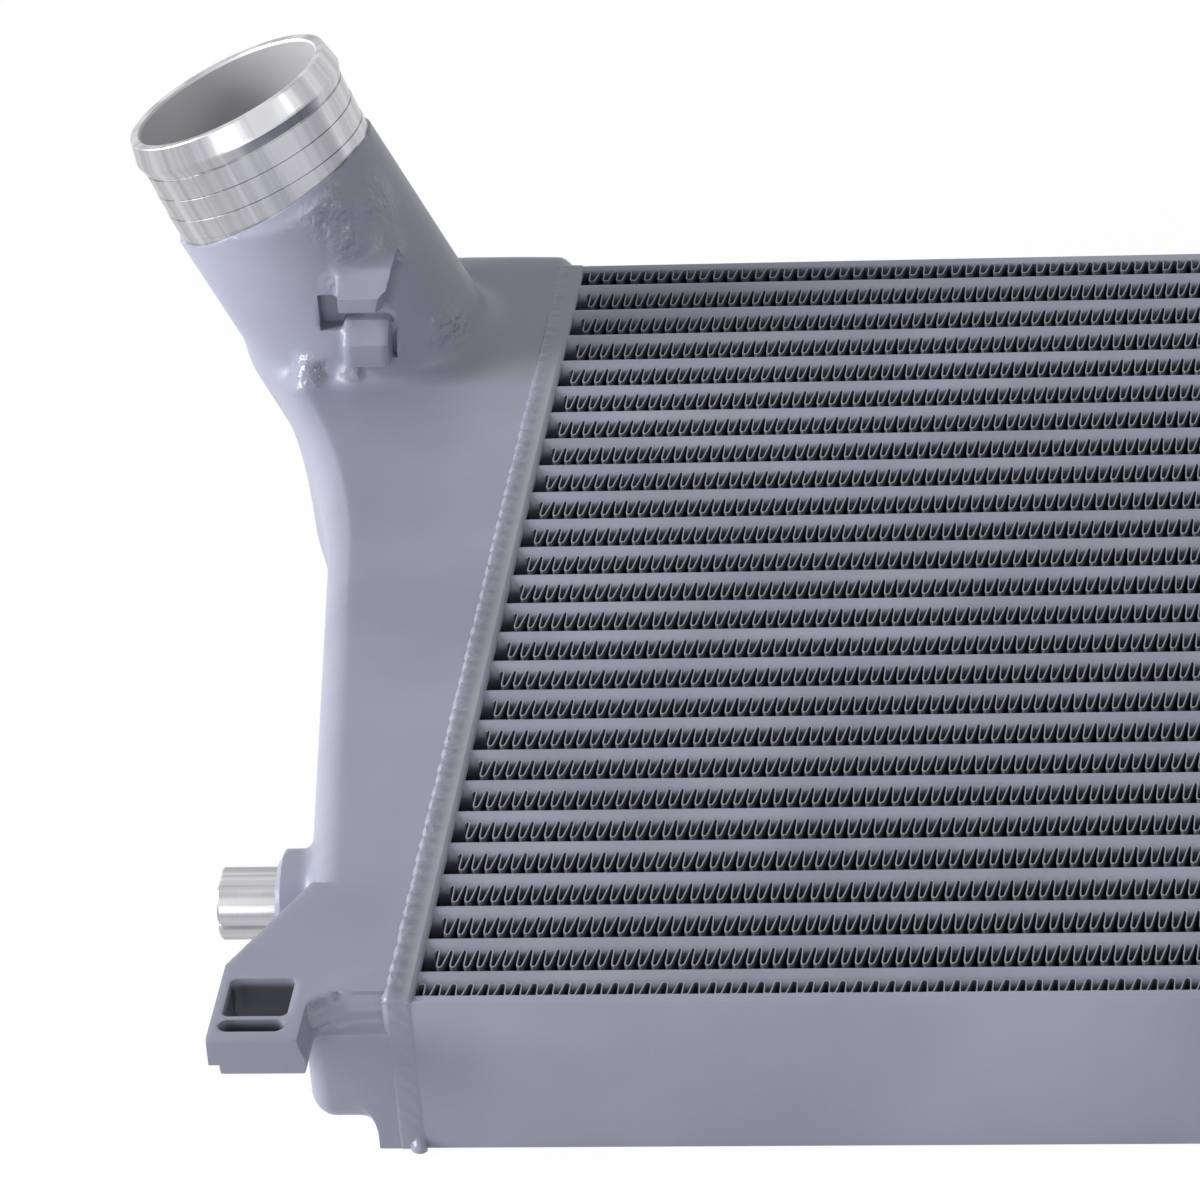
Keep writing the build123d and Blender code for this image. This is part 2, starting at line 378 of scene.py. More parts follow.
def turned(name, origin, axis, bore=0.0):
    """Bare turned metal. Origin and axis, in millimetres, say where the lathe's axis was.

    Within the bore's radius the metal is duller, because it was only drilled.
    """
    material, tree, where = blank(name)
    shift = add(tree, "ShaderNodeVectorMath", {"operation": "SUBTRACT"}, {0: where, 1: metres(origin)})
    turn = Vector(axis).to_track_quat("Z", "Y").inverted().to_euler()
    local = add(tree, "ShaderNodeMapping", inputs={"Vector": shift, "Rotation": tuple(turn)})
    x, y, z = (part_of(tree, local, axis) for axis in range(3))
    along = add(tree, "ShaderNodeCombineXYZ", inputs={"Z": z})
    rings = noise(tree, along, 0.45, detail=3.0, rough=0.7)
    angle = y.math("ARCTAN2", x)
    around = add(tree, "ShaderNodeCombineXYZ", inputs={"X": angle * 0.02, "Z": z * 0.01})
    streak = noise(tree, around, 9.0, detail=4.0, rough=0.6).ramp(0.36, 0.6)
    radius = (x * x + y * y).math("SQRT") / MM
    inner = 1 - radius.ramp(bore + 0.2, bore + 0.8)
    # painted reflections: bright and dark streaks along the axis, with a little of the rings, in the metal's
    # colour
    shine = mix(tree, streak * 0.7 + rings * 0.3, BARE_REFLECTION_DARK, BARE_REFLECTION_BRIGHT)
    return finish(
        material,
        Base_Color=mix(tree, inner, shine, BORE_GREY),
        Metallic=1 - inner * 0.8,
        Roughness=rings * 0.14 + 0.24 + inner * 0.2,
        Anisotropic=0.5,
        Normal=bump(tree, rings, 0.02),
    )


# %% [markdown]
# ## Growing a mesh from a node tree
#
# Geometry Nodes suit what repeats. Each tree below has named inputs for its sizes. The helper builds an
# object, sets the inputs by their identifiers, evaluates it once and keeps the plain mesh.

# %% Helper that grows a piece


class Grower:
    """A Geometry Nodes tree under construction."""

    def __init__(self, name, **sizes):
        self.tree = bpy.data.node_groups.new(name, "GeometryNodeTree")
        face = self.tree.interface
        face.new_socket(name="Geometry", in_out="OUTPUT", socket_type="NodeSocketGeometry")
        self.ids = {}
        self.values = sizes
        for key, value in sizes.items():
            whole = isinstance(value, int)
            kind = "NodeSocketInt" if whole else "NodeSocketFloat"
            self.ids[key] = face.new_socket(name=key, in_out="INPUT", socket_type=kind).identifier
        self.source = self.tree.nodes.new("NodeGroupInput")

    def size(self, key):
        """The input of this name, as a value for formulas."""
        names = list(self.ids)
        return Value(self.tree, self.source.outputs[names.index(key)])

    def add(self, kind, settings=None, inputs=None, output=0):
        return add(self.tree, kind, settings, inputs, output)

    def point(self, x=0.0, y=0.0, z=0.0):
        """A vector from numbers or values."""
        return self.add("ShaderNodeCombineXYZ", inputs={"X": x, "Y": y, "Z": z})

    def close(self, geometry, material):
        """Ends the tree: real geometry with its material."""
        solid = self.add("GeometryNodeRealizeInstances", inputs={"Geometry": geometry})
        coated = self.add("GeometryNodeSetMaterial", inputs={"Geometry": solid, "Material": material})
        out = self.tree.nodes.new("NodeGroupOutput")
        self.tree.links.new(coated.socket, out.inputs[0])
        return self

    def grow(self, name, material, **changes):
        """A plain mesh object made by the tree with these sizes."""
        seedling = bpy.data.objects.new(name + "_grower", bpy.data.meshes.new(name + "_grower"))
        bpy.context.scene.collection.objects.link(seedling)
        modifier = seedling.modifiers.new("grow", "NODES")
        modifier.node_group = self.tree
        for key, value in {**self.values, **changes}.items():
            modifier[self.ids[key]] = value
        view = bpy.context.evaluated_depsgraph_get()
        mesh = bpy.data.meshes.new_from_object(seedling.evaluated_get(view))
        mesh.name = name
        seedling.modifiers.remove(modifier)
        bpy.data.objects.remove(seedling)
        piece = bpy.data.objects.new(name, mesh)
        bpy.context.scene.collection.objects.link(piece)
        mesh.materials.clear()
        mesh.materials.append(material)
        return piece


def settle(piece, slot, *nodes, angle=32.0):
    """Shades a finished piece, makes it ride on the core and stand for CAD nodes."""
    piece.data.shade_smooth()
    piece.data.set_sharp_from_angle(angle=math.radians(angle))
    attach(piece, "root")
    if nodes:
        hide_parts(*nodes)
    print(piece.name, sum(len(p.vertices) - 2 for p in piece.data.polygons), "triangles")
    return piece


# %% [markdown]
# ## The tubes
#
# Each tube is an extrusion with a full round nose at the front and the back. One rounded outline is swept
# along a line and repeated down the stack. A real tube is never quite straight, but the solder holds it to
# less than a pixel, so the rows stay straight here.

# %% Tubes


def tube_stack():
    stack = Grower(
        "tube_stack",
        Count=len(tubes),
        Pitch=float(tube_pitch * MM),
        Length=float(core_length * MM),
        Thickness=float(tube_thickness * MM),
        Depth=float(core_depth * MM),
        Top=float(tube_middle[1] * MM),
    )
    half = stack.size("Length") * 0.5
    ends = {"Start": stack.point(half * -1), "End": stack.point(half)}
    line = stack.add("GeometryNodeCurvePrimitiveLine", inputs=ends)
    sizes = {"Width": stack.size("Thickness"), "Height": stack.size("Depth")}
    outline = stack.add("GeometryNodeCurvePrimitiveQuadrilateral", {"mode": "RECTANGLE"}, sizes)
    radius = stack.size("Thickness") * 0.4999
    rounding = {"Curve": outline, "Radius": radius, "Limit Radius": True, "Count": 10}
    outline = stack.add("GeometryNodeFilletCurve", {"mode": "POLY"}, rounding)
    swept = {"Curve": line, "Profile Curve": outline, "Fill Caps": True}
    tube = stack.add("GeometryNodeCurveToMesh", inputs=swept)
    start = stack.point(0.0, stack.size("Top"), stack.size("Depth") * 0.5)
    step = stack.point(0.0, stack.size("Pitch") * -1, 0.0)
    spread = {"Count": stack.size("Count"), "Start Location": start, "Offset": step}
    places = stack.add("GeometryNodeMeshLine", inputs=spread)
    copies = stack.add("GeometryNodeInstanceOnPoints", inputs={"Points": places, "Instance": tube})
    return stack.close(copies, tube_paint_and_shade)


tube_piece = settle(tube_stack().grow("core_tubes", tube_paint_and_shade), "painted_core", *tubes)
print("tubes span", *span(tube_piece))

# %% [markdown]
# ## The fins
#
# A fin row is one strip of thin sheet, folded into narrow loops that are brazed to the tubes above and
# below. The photograph shows rounded loops whose legs lean to the right, about 3.5 mm apart, and wider,
# flatter ones in the first and the last row. The tree lays points along the fold by a formula: five on
# each crest, five on each root. A rectangle as thick as the sheet and as deep as the core is swept along
# them. Each loop wanders by a seeded random amount, because folding is never exact. The solids' strips end
# 5 mm short of the closing bars. These end nearer to them, and a full row laps a little over the tubes'
# round noses.

# %% Fin strip


def fin_strip():
    strip = Grower(
        "fin_strip",
        Waves=180,
        Pitch=3.5 * MM,
        Height=7.8 * MM,
        Depth=44.4 * MM,
        Sheet=0.34 * MM,
        Crest=0.55 * MM,
        Valley=0.75 * MM,
        Round=1.1 * MM,
        Lean=0.26 * MM,
        Wander=0.13 * MM,
        Middle=0.0,
        Front=0.0,
        Seed=1,
    )
    steps = 5
    count = strip.size("Waves") * (2 * steps)
    line = strip.add("GeometryNodeMeshLine", inputs={"Count": count})
    index = strip.add("GeometryNodeInputIndex")
    fold = (index / steps).math("FLOOR")
    turn = (index - fold * steps) / (steps - 1.0)
    up = 1 - fold.math("MODULO", 2.0) * 2
    arc = turn * math.pi
    wide = strip.size("Valley") + (strip.size("Crest") - strip.size("Valley")) * (up * 0.5 + 0.5)
    reach = arc.math("COSINE") * wide * -1
    swell = arc.math("SINE") * strip.size("Round")
    swing = strip.size("Wander")
    chance = {"Min": swing * -1, "Max": swing, "ID": fold, "Seed": strip.size("Seed")}
    wander = strip.add("FunctionNodeRandomValue", {"data_type": "FLOAT"}, chance, output=1)
    run = strip.size("Waves") * strip.size("Pitch")
    x = fold * strip.size("Pitch") * 0.5 + reach + wander + up * strip.size("Lean") - run * 0.5
    tall = strip.size("Height") * 0.5 - strip.size("Sheet") * 0.5
    y = up * (tall - strip.size("Round") + swell) + strip.size("Middle")
    spot = strip.point(x, y, strip.size("Front"))
    laid = strip.add("GeometryNodeSetPosition", inputs={"Geometry": line, "Position": spot})
    path = strip.add("GeometryNodeMeshToCurve", inputs={"Mesh": laid})
    path = strip.add("GeometryNodeSetCurveNormal", {"mode": "Z_UP"}, {"Curve": path})
    sizes = {"Width": strip.size("Sheet"), "Height": strip.size("Depth")}
    section = strip.add("GeometryNodeCurvePrimitiveQuadrilateral", {"mode": "RECTANGLE"}, sizes)
    swept = {"Curve": path, "Profile Curve": section, "Fill Caps": True}
    return strip.close(strip.add("GeometryNodeCurveToMesh", inputs=swept), fin_paint_and_shade)


fin_tree = fin_strip()
CAD_GAP = 5
ROW_GAP = 4.0
OUTER_GAP = 2.0
ROW_WAVE = 3.5
OUTER_WAVE = 4.2
OUTER_SHAPE = {"Crest": 0.8 * MM, "Valley": 0.85 * MM, "Round": 0.6 * MM, "Lean": 0.2 * MM}
NOSE_LAP = 0.9
for number, row in enumerate(rows):
    middle, size = place(row)
    outer = row in (rows[0], rows[-1])
    run = size[0] + 2 * (CAD_GAP - (OUTER_GAP if outer else ROW_GAP))
    waves = round(run / (OUTER_WAVE if outer else ROW_WAVE))
    shape = OUTER_SHAPE if outer else {}
    piece = fin_tree.grow(
        row + "_strip",
        fin_paint_and_shade,
        Waves=waves,
        Pitch=float(run / waves * MM),
        Height=float((size[1] + (0 if outer else NOSE_LAP)) * MM),
        Depth=float(size[2] * MM),
        Middle=float(middle[1] * MM),
        Front=float(middle[2] * MM),
        Seed=number,
        **shape,
    )
    settle(piece, "painted_core", row)
print("last strip spans", *span(piece))

# %% [markdown]
# ## Side plates and closing bars
#
# A flat plate closes the stack above and below, and a bar closes each channel at its end. Their edges are
# eased by the mill and by the paint, and that edge catches the light, so each box gets a small bevel.

# %% Bevelled boxes


def eased_box(middle, size, bevel, segments=2):
    """Vertices and faces of a box with eased edges, in millimetres."""
    mesh = bmesh.new()
    bmesh.ops.create_cube(mesh, size=1.0)
    bmesh.ops.scale(mesh, vec=size, verts=mesh.verts)
    bmesh.ops.bevel(mesh, geom=mesh.edges[:], offset=bevel, segments=segments, profile=0.5, affect="EDGES")
    bmesh.ops.translate(mesh, vec=middle, verts=mesh.verts)
    mesh.verts.ensure_lookup_table()
    mesh.verts.index_update()
    found = [tuple(v.co) for v in mesh.verts], [[v.index for v in f.verts] for f in mesh.faces]
    mesh.free()
    return found


def as_piece(name, vertices, faces, material):
    """An object from vertices in millimetres."""
    mesh = bpy.data.meshes.new(name)
    mesh.from_pydata([metres(v) for v in vertices], [], [list(map(int, f)) for f in faces])
    mesh.validate()
    mesh.materials.append(material)
    piece = bpy.data.objects.new(name, mesh)
    bpy.context.scene.collection.objects.link(piece)
    return piece


def joined(parts):
    """Several (vertices, faces) as one."""
    vertices, faces = [], []
    for more, their_faces in parts:
        start = len(vertices)
        vertices += more
        faces += [[start + i for i in f] for f in their_faces]
    return vertices, faces


for name in ("top_side_plate", "bottom_side_plate"):
    plate = as_piece(name + "_painted", *eased_box(*place(name), bevel=0.3), core_paint)
    settle(plate, "painted_core", name)

for side in ("left", "right"):
    across = place(side + "_end_bars")[0][0]
    boxes = []
    for row in rows:
        middle, size = place(row)
        centre = (across, middle[1], core_depth / 2)
        boxes.append(eased_box(centre, (bar_width, size[1], core_depth), bevel=0.35, segments=1))
    # the bars' paint carries the painted shade of the channels
    bars = as_piece(side + "_end_bars_painted", *joined(boxes), bar_paint_and_shade)
    settle(bars, "painted_core", side + "_end_bars")

# %% [markdown]
# ## The cast end tanks
#
# A casting has no sharp joins: the spigot grows out of the box, the lug is one with its face, and every
# outer edge rolls over. That is hard to draw with faces, and easy to say as a distance: for any point in
# space, how far is it from the surface? Boxes, cylinders and outlines each have such a formula, the
# smaller of two distances is their union, and a softened smaller-of gives the fillet between them.

# %% Distance formulas


def soft_union(a, b, blend):
    """The union of two distances, with a fillet of about half the blend."""
    h = np.clip(0.5 + 0.5 * (b - a) / blend, 0, 1)
    return b * (1 - h) + a * h - blend * h * (1 - h)


def outline_distance(x, y, corners):
    """Signed distance to a closed outline, below nought inside."""
    nearest = 1e9
    crossings = np.zeros(np.broadcast(x, y).shape, bool)
    for (x0, y0), (x1, y1) in zip(corners, corners[1:] + corners[:1]):
        run, rise = x1 - x0, y1 - y0
        t = np.clip(((x - x0) * run + (y - y0) * rise) / (run * run + rise * rise), 0, 1)
        nearest = np.minimum(nearest, (x - x0 - t * run) ** 2 + (y - y0 - t * rise) ** 2)
        if rise:
            spans = (y0 > y) != (y1 > y)
            crossings ^= spans & (x < x0 + run * (y - y0) / rise)
    return np.where(crossings, -1, 1) * np.sqrt(nearest)


def slab(flat, z, low, high, edge):
    """An outline's distance raised to a plate between two heights, with rounded edges."""
    side = flat + edge
    level = np.abs(z - (low + high) / 2) - (high - low) / 2 + edge
    outside = np.hypot(np.maximum(side, 0), np.maximum(level, 0))
    return np.minimum(np.maximum(side, level), 0) + outside - edge


def rod(x, y, z, foot, axis, radius, start, end):
    """A cylinder along an axis through a foot, from start to end, all in millimetres."""
    axis = np.array(axis) / np.linalg.norm(axis)
    p = [c - f for c, f in zip((x, y, z), foot)]
    along = sum(c * a for c, a in zip(p, axis))
    around = np.sqrt(np.maximum(sum(c * c for c in p) - along * along, 0))
    return np.maximum(around - radius, np.maximum(start - along, along - end))


# %% [markdown]
# The tank's plan is a straight taper, a long flare and a round bulb under the spigot. The flare's arc is
# the one that leaves the taper smoothly and meets the bulb smoothly, as in the CAD model. Above the stack
# the crown runs on past the joint and rolls down on to the side plate, because the weld ends there.

# %% The tank's plan

JOINT = -half_length
FOOT_WIDTH = 25.5
FLANGE = 9.0
FLANGE_FRONT = 34.0
TOP = half_height + 13.85
SHOULDER = (-51.3, TOP - 187.0)
BULB = 45.0
BULB_X = -51.0
CROWN_LAP = 4.0
BEYOND = 14.0
TANK_BACK = 6.6
LUG_BACK = 37.4
PAD_BACK = 34.6


def arc(centre, radius, start, end, count):
    """Points along an arc, angles in radians."""
    angles = np.linspace(start, end, count)
    return [(centre[0] + radius * math.cos(a), centre[1] + radius * math.sin(a)) for a in angles]


def tank_plan():
    """Corners of the left tank's outline. X is counted from the joint, and is negative outwards."""
    foot = (-FOOT_WIDTH, -half_height)
    slope = Vector((SHOULDER[0] - foot[0], SHOULDER[1] - foot[1])).normalized()
    outwards = Vector((-slope.y, slope.x))
    bulb = Vector((BULB_X, TOP - BULB))
    reach = Vector(SHOULDER) - bulb
    flare = (reach.dot(reach) - BULB**2) / (2 * (BULB - reach.dot(outwards)))
    centre = Vector(SHOULDER) + outwards * flare
    towards = (centre - bulb).normalized()
    meeting = bulb + towards * BULB
    start = math.atan2(*reversed(Vector(SHOULDER) - centre))
    end = math.atan2(*reversed(meeting - centre))
    round_end = math.atan2(towards.y, towards.x) % (2 * math.pi)
    corners = arc((foot[0] + 5.5, foot[1] + 6), 6.0, 1.5 * math.pi, math.pi, 8)
    corners += arc(centre, flare, start, end, 24)
    corners += arc(bulb, BULB, round_end, math.pi / 2, 30)
    corners += [(-16.0, TOP - 0.8), (-4.0, TOP - 1.6), (-1.5, TOP - 2.6), (1.2, TOP - 7.0)]
    corners += [(CROWN_LAP - 0.2, half_height + 0.6), (CROWN_LAP, half_height - 3)]
    corners += [(BEYOND, half_height - 3), (BEYOND, -half_height)]
    return corners


plan = tank_plan()
print("tank plan has", len(plan), "corners, widest", round(min(c[0] for c in plan), 1))

# %% [markdown]
# Now the whole casting as one distance: the box, the flange along the joint, the spigot, the lug with its
# pocket and slot, the boss for the peg, and on the left tank the clip. The bulb's wall leans inwards
# towards the back, and the painted neck leans more than the bare band above it. The clip's two jaws stand
# on a thickening of the neck, with a recess round them. Small lumps at the spigot's foot are soft-joined
# balls. Parts of the lug that share its end face are joined without a fillet, so that the face stays flat.

# %% The casting as a distance

SPIGOT_FOOT = (-61.4, TOP - 50.45, core_depth)
SPIGOT_AXIS = (-0.3806, 0.0650, 0.9224)
SPIGOT_LENGTH = 82.9
BARE_LENGTH = 31.5
BORE = 28.9
NECK = 33.2
NECK_SHIFT = 4.8
NECK_FOOT = (SPIGOT_FOOT[0] + NECK_SHIFT, SPIGOT_FOOT[1], SPIGOT_FOOT[2])
NECK_TOP = [f + a * (SPIGOT_LENGTH - BARE_LENGTH) for f, a in zip(SPIGOT_FOOT, SPIGOT_AXIS)]
NECK_AXIS = [t - f for t, f in zip(NECK_TOP, NECK_FOOT)]
NECK_LENGTH = math.dist(NECK_TOP, NECK_FOOT)
CLIP_BED = (NECK_FOOT[0] + 7.6, NECK_FOOT[1] - 13.2, NECK_FOOT[2])
CLIP_BED_RADIUS = 20.0
EDGE_RADIUS = 8.5
BULB_START = 88.0
BULB_FULL = 170.0
BULB_LEAN = 0.46
RIDGE_INSET = 6.6
RIDGE_TOP = 122.0
PLENUM_WALL = 8.0
PLENUM_START = 112.0
PEG_Y = -half_height + 79.8
PEG_Z = 25.4
BOSS_END = -43.6
BOSS_RADIUS = 14.5
BOSS_LIP = 11.3

LUG_END = -220.7
FOOT_CREASE_Y = -196.6
FOOT_CREASE_Z = 43.7
LUG = [(-30.5, -144.0), (-47.7, -184.1), (-47.7, LUG_END), (-26.0, LUG_END), (-25.2, -212.0)]
LUG += [(-24.2, -207.4), (-22.9, -203.0), (-20.4, -200.2), (-17.4, -198.4), (-14.0, -197.4)]
LUG += [(BEYOND, -197.2), (BEYOND, -146.0)]
LUG_SKIRT = [(-40.0, -190.0), (-40.0, -207.0), (-24.0, -207.0), (-21.6, -205.6), (-18.5, -202.6)]
LUG_SKIRT += [(-14.0, -201.2), (-8.0, -200.6), (BEYOND, -200.5), (BEYOND, -190.0)]
PAD = [(-44.5, -184.4), (-44.5, LUG_END), (-22.4, LUG_END), (-22.4, -184.4)]
GUSSET = [(-47.5, -184.4), (-47.5, -202.0), (-45.2, -202.0), (-45.2, -190.9)]
GUSSET += [(-24.0, -190.9), (-24.0, -184.4)]
GUSSET_BACK = 31.5
POCKET = (-36.65, -199.85, 17.1, 17.8, 1.8)
SLOT = (-36.65, -213.15, 17.4, 5.6, 2.79)


def window(x, y, middle_x, middle_y, width, height, corner):
    """Distance to a rounded rectangle."""
    dx = np.abs(x - middle_x) - width / 2 + corner
    dy = np.abs(y - middle_y) - height / 2 + corner
    return np.minimum(np.maximum(dx, dy), 0) + np.hypot(np.maximum(dx, 0), np.maximum(dy, 0)) - corner


CLIP_FRONT = SPIGOT_FOOT[1] - 38.2
CLIP_X = -51.6
CLIP_UNDER = core_depth + 19.6
CLIP_OVER = core_depth + 25.0
JAW_HALF = 6.7
RECESS_WIDE = (CLIP_X - 13.6, 100, 62.2), (CLIP_X + 8.4, 138.4, 73.4)
RECESS_NARROW = (CLIP_X + 4.0, 100, 52.0), (CLIP_X + 8.4, 137.0, 80.0)


def clip_jaws(x, y, z):
    """The two jaws of the hose clip, on the near flank of the spigot: the upper and the lower."""
    back = CLIP_FRONT + 20
    low = [(back, CLIP_UNDER), (CLIP_FRONT + 6.0, CLIP_UNDER), (CLIP_FRONT, CLIP_UNDER - 5.6)]
    low += [(CLIP_FRONT, CLIP_UNDER - 12.6), (back, CLIP_UNDER - 12.6)]
    high = [(back, CLIP_OVER), (CLIP_FRONT, CLIP_OVER), (CLIP_FRONT, CLIP_OVER + 4.6)]
    high += [(CLIP_FRONT + 7.5, CLIP_OVER + 10.5), (back, CLIP_OVER + 11.5)]
    across = x - CLIP_X
    lower = slab(outline_distance(y, z, low), across, -JAW_HALF, JAW_HALF, 1.2)
    upper = np.maximum(outline_distance(y, z, high), -7.0 - across)
    # the right flank leans outwards as it rises, and its front corner is cut off
    flank = (across - 5.6 - (z - CLIP_OVER) * 0.3) * 0.95
    corner = (across - 3.8 - (z - CLIP_OVER) * 0.3) * 0.75 - (y - CLIP_FRONT) * 0.6
    return np.maximum(upper, np.maximum(flank, corner)), lower


def block(x, y, z, low, high):
    """Distance to a plain box."""
    sides = [np.abs(c - (l + h) / 2) - (h - l) / 2 for c, l, h in zip((x, y, z), low, high)]
    return np.maximum(np.maximum(sides[0], sides[1]), sides[2])


def clip_recess(x, y, z):
    """The pocket round the jaws: wide to the left of the upper one, narrow to the right of both."""
    return np.minimum(block(x, y, z, *RECESS_WIDE), block(x, y, z, *RECESS_NARROW))


FOOT_LUMPS = [(-70.1, 134.6, 48.0, 3.4), (-57.4, 134.2, 48.0, 2.8), (-33.5, 149.5, 51.0, 3.4)]


def tank_distance(x, y, z, with_clip):
    """Distance to the left tank's surface. X is counted from the joint."""
    high = np.clip((y - BULB_START) / (BULB_FULL - BULB_START), 0, 1)
    lean = (core_depth - z) * BULB_LEAN * high * high * (3 - 2 * high) * np.clip(-x / 30 - 1, 0, 1)
    upright = outline_distance(x, y, plan)
    flat = upright + lean
    body = slab(flat, z, TANK_BACK, core_depth, EDGE_RADIUS)
    flange = np.abs(y) - half_height
    flange = np.maximum(np.maximum(flange, -FLANGE - x), np.maximum(-z, z - FLANGE_FRONT))
    body = soft_union(body, flange, 5.0)
    body = np.maximum(body, np.maximum(z - core_depth, -half_height - y))
    # the face falls away in a crease above the lug
    body = np.maximum(body, (z - FOOT_CREASE_Z) * 0.6 - (y - FOOT_CREASE_Y) * 0.8)
    # a ridge follows the outer edge of the face, below the spigot
    ridge = slab(upright + RIDGE_INSET, z, core_depth - 6, core_depth - 0.05, 0.5)
    body = np.where((y > 0) & (y < RIDGE_TOP) & (x < -30), np.minimum(body, ridge), body)
    neck = rod(x, y, z, NECK_FOOT, NECK_AXIS, NECK, -20.0, NECK_LENGTH)
    if with_clip:
        upper, lower = clip_jaws(x, y, z)
        bed = rod(x, y, z, CLIP_BED, NECK_AXIS, CLIP_BED_RADIUS, -8.0, NECK_LENGTH - 0.4)
        neck = soft_union(neck, bed, 8.0)
        neck = np.maximum(neck, -clip_recess(x, y, z))
        neck = soft_union(soft_union(neck, upper, 3.0), lower, 1.5)
        for cx, cy, cz, radius in FOOT_LUMPS:
            ball = np.sqrt((x - cx) ** 2 + (y - cy) ** 2 + (z - cz) ** 2) - radius
            neck = soft_union(neck, ball, 3.0)
    body = soft_union(body, neck, 6.0)
    boss = rod(x, y, z, (BOSS_END, PEG_Y, PEG_Z), (1, 0, 0), BOSS_RADIUS, 0.0, 15.0)
    cone = BOSS_LIP + (x - BOSS_END) * 1.7
    boss = np.maximum(boss, (np.hypot(y - PEG_Y, z - PEG_Z) - cone) * 0.6)
    body = soft_union(body, boss, 3.0)
    plate = slab(outline_distance(x, y, LUG), z, LUG_BACK, core_depth, 0.4)
    skirt = slab(outline_distance(x, y, LUG_SKIRT), z, LUG_BACK, core_depth - 1.3, 3.2)
    cheek = block(x, y, z, (-40, LUG_END, LUG_BACK), (-20, -204, core_depth - 0.05))
    cheek = np.maximum(cheek, (x + 21.7 + (z - LUG_BACK) * 0.3) * 0.96)
    pad = slab(outline_distance(x, y, PAD), z, PAD_BACK, LUG_BACK + 2, 0.6)
    gusset = slab(outline_distance(x, y, GUSSET), z, GUSSET_BACK, LUG_BACK, 1.0)
    body = soft_union(body, np.minimum(np.minimum(skirt, cheek), pad), 2.0)
    body = soft_union(body, gusset, 1.0)
    body = np.minimum(body, plate)
    body = np.maximum(body, -window(x, y, *POCKET))
    body = np.maximum(body, -window(x, y, *SLOT))
    # only the room below the spigot is hollow, because nothing else can be seen into
    inside = slab(np.maximum(flat + PLENUM_WALL, PLENUM_START - y), z, TANK_BACK + 6, core_depth - 4, 3.0)
    body = np.maximum(body, -inside)
    body = np.maximum(body, -rod(x, y, z, NECK_FOOT, NECK_AXIS, BORE, -14.0, 200.0))
    # the core takes the room beyond the joint, but the crown laps over its top plate
    return np.maximum(body, -np.maximum(-x, y - half_height))


# %% [markdown]
# A distance becomes a mesh by dual contouring: space is cut into small cells, and each cell that the
# surface passes through gets one point, placed where it fits best to the surface's slopes on the cell's
# edges. On a round form that gives an even skin, and at a corner the point lands on the corner itself.

# %% From a distance to a skin


def skin(distance, low, high, cell):
    """Vertices and quads of the surface where the distance is nought."""
    counts = [int(math.ceil((h - l) / cell)) + 1 for l, h in zip(low, high)]
    axes = [l + cell * np.arange(n, dtype=np.float32) for l, n in zip(low, counts)]
    # the plan's distance is worked out for one plane only, and numpy spreads it over all heights
    field = distance(*np.meshgrid(*axes, indexing="ij", sparse=True))
    full = np.broadcast_to(field, counts)
    cells, points, quads = [], [], []
    shape = np.array(counts)
    for axis in range(3):
        first = [slice(None)] * 3
        second = [slice(None)] * 3
        first[axis], second[axis] = slice(None, -1), slice(1, None)
        a, b = full[tuple(first)], full[tuple(second)]
        edges = np.argwhere((a < 0) != (b < 0))
        others = [i for i in range(3) if i != axis]
        keep = np.all([(edges[:, o] > 0) & (edges[:, o] < shape[o] - 1) for o in others], axis=0)
        edges = edges[keep]
        da, db = a[tuple(edges.T)], b[tuple(edges.T)]
        at = np.stack([axes[i][edges[:, i]] for i in range(3)], 1).astype(float)
        at[:, axis] += cell * da / (da - db)
        ring = []
        for du, dv in ((0, 0), (1, 0), (1, 1), (0, 1)):
            corner = edges.copy()
            corner[:, others[0]] -= du
            corner[:, others[1]] -= dv
            ring.append(np.ravel_multi_index(corner.T, counts))
        ring = np.stack(ring, 1)
        flip = (da < 0) != (axis == 1)
        ring[flip] = ring[flip][:, ::-1]
        cells.append(ring.ravel())
        points.append(np.repeat(at, 4, axis=0))
        quads.append(ring)
    cells, points, quads = np.concatenate(cells), np.concatenate(points), np.concatenate(quads)
    names, owner = np.unique(cells, return_inverse=True)
    slopes = slope_of(distance, points[::4]).repeat(4, axis=0)
    weight = np.bincount(owner)
    centre = np.stack([np.bincount(owner, points[:, i]) / weight for i in range(3)], 1)
    offset = points - centre[owner]
    pull = (slopes * offset).sum(1)
    matrix = np.zeros((len(names), 3, 3))
    target = np.zeros((len(names), 3))
    for i in range(3):
        target[:, i] = np.bincount(owner, slopes[:, i] * pull)
        for j in range(3):
            matrix[:, i, j] = np.bincount(owner, slopes[:, i] * slopes[:, j])
    matrix += np.eye(3) * 0.08
    shift = np.linalg.solve(matrix, target[..., None])[..., 0]
    vertices = centre + np.clip(shift, -cell, cell)
    return vertices, np.searchsorted(names, quads)


def slope_of(distance, points, step=0.05):
    """Unit slope of a distance at points."""
    found = []
    for axis in range(3):
        ahead, behind = points.copy(), points.copy()
        ahead[:, axis] += step
        behind[:, axis] -= step
        found.append(distance(*ahead.T) - distance(*behind.T))
    slopes = np.stack(found, 1)
    return slopes / np.maximum(np.linalg.norm(slopes, axis=1, keepdims=True), 1e-9)


# %% [markdown]
# The right tank is the mirror image without the clip. A mirrored mesh is inside out, so its faces are
# turned round again.

# %% Skin both tanks

